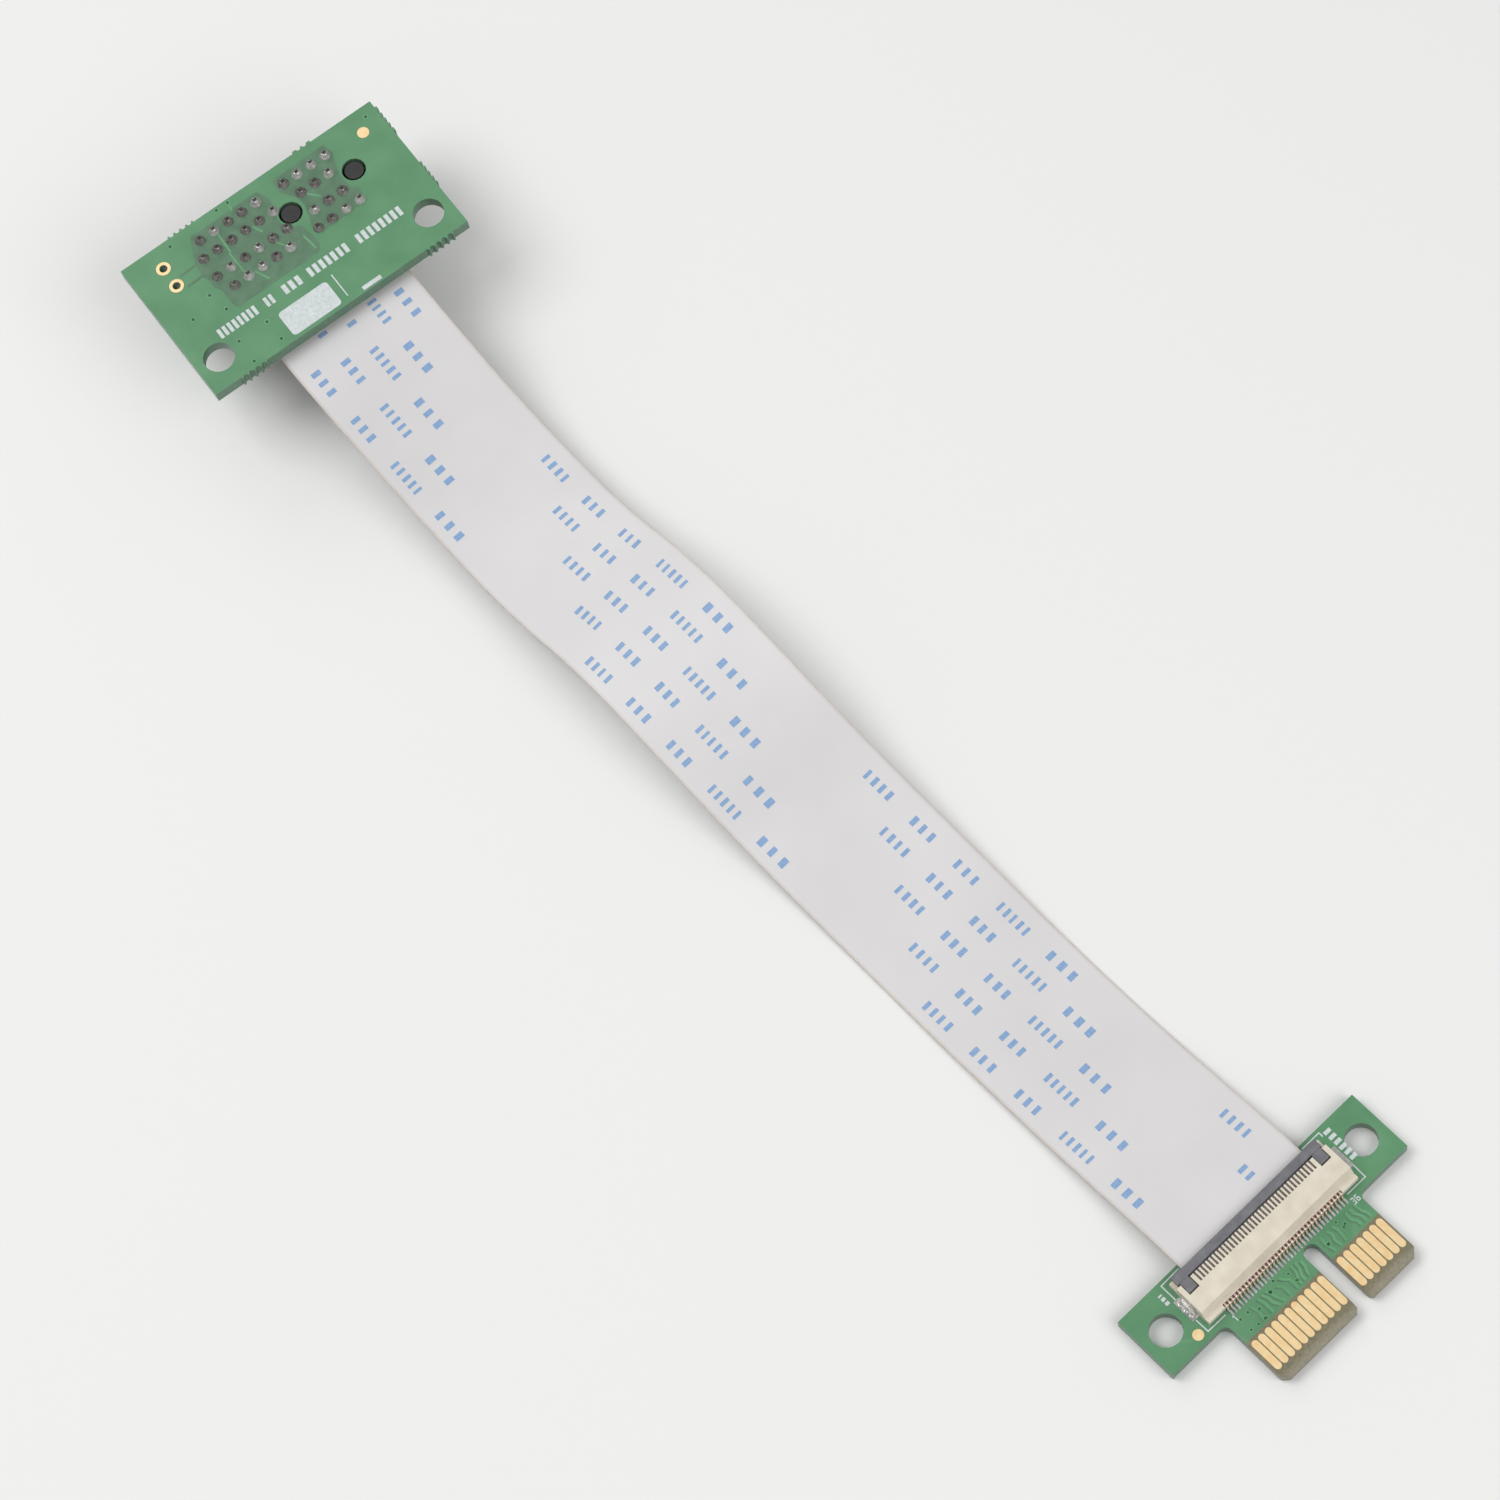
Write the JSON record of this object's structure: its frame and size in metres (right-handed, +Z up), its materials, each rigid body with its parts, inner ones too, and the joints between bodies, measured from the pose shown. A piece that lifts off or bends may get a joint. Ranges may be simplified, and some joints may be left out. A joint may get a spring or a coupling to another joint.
{
  "type": "flexible x1 card slot extender cable",
  "caption": "Socket board with a card slot, joined by a flat ribbon cable to an edge board with gold fingers and flip-lock ribbon connectors.",
  "frame": {"origin": "middle of the socket's key, on the face of its mouth, which stands on the surface", "axes": "+X along the socket's row of contacts, -Y towards the edge board, +Z up out of the socket board's solder side"},
  "size_m": [0.0536, 0.1863, 0.0137],
  "materials": {
    "board_green": "green solder mask, satin",
    "black_plastic": "moulded black, matte",
    "ivory_plastic": "moulded ivory, matte",
    "lock_grey": "moulded dark grey, satin",
    "contact_metal": "tinned copper alloy with solder cones",
    "tinned_metal": "tin plated",
    "ribbon_white": "white polyester film, satin"
  },
  "bodies": {
    "extender": {"socket_board": "board_green", "edge_board": "board_green", "socket_housing": "black_plastic", "socket_ribbon_housing": "ivory_plastic", "edge_ribbon_housing": "ivory_plastic", "ribbon_cable": "ribbon_white", "socket_hold_down_left": "tinned_metal", "socket_hold_down_right": "tinned_metal", "edge_hold_down_left": "tinned_metal", "edge_hold_down_right": "tinned_metal", "socket_contact_back_01": "contact_metal", "socket_contact_front_01": "contact_metal", "socket_contact_back_02": "contact_metal", "socket_contact_front_02": "contact_metal", "socket_contact_back_03": "contact_metal", "socket_contact_front_03": "contact_metal", "socket_contact_back_04": "contact_metal", "socket_contact_front_04": "contact_metal", "socket_contact_back_05": "contact_metal", "socket_contact_front_05": "contact_metal", "socket_contact_back_06": "contact_metal", "socket_contact_front_06": "contact_metal", "socket_contact_back_07": "contact_metal", "socket_contact_front_07": "contact_metal", "socket_contact_back_08": "contact_metal", "socket_contact_front_08": "contact_metal", "socket_contact_back_09": "contact_metal", "socket_contact_front_09": "contact_metal", "socket_contact_back_10": "contact_metal", "socket_contact_front_10": "contact_metal", "socket_contact_back_11": "contact_metal", "socket_contact_front_11": "contact_metal", "socket_contact_back_12": "contact_metal", "socket_contact_front_12": "contact_metal", "socket_contact_back_13": "contact_metal", "socket_contact_front_13": "contact_metal", "socket_contact_back_14": "contact_metal", "socket_contact_front_14": "contact_metal", "socket_contact_back_15": "contact_metal", "socket_contact_front_15": "contact_metal", "socket_contact_back_16": "contact_metal", "socket_contact_front_16": "contact_metal", "socket_contact_back_17": "contact_metal", "socket_contact_front_17": "contact_metal", "socket_contact_back_18": "contact_metal", "socket_contact_front_18": "contact_metal"},
    "socket_lock": {"socket_lock_bar": "lock_grey"},
    "edge_lock": {"edge_lock_bar": "lock_grey"}
  },
  "joints": [
    {"name": "socket_lock_flip", "type": "hinge", "parent": "extender", "child": "socket_lock", "pos_m": [-0.0021, -0.0111, 0.00975], "axis": [1, 0, 0], "range_deg": [0, 90]},
    {"name": "edge_lock_flip", "type": "hinge", "parent": "extender", "child": "edge_lock", "pos_m": [0.01503, -0.16452, 0.00315], "axis": [0.9914, 0.1305, 0], "range_deg": [0, 90]}
  ]
}
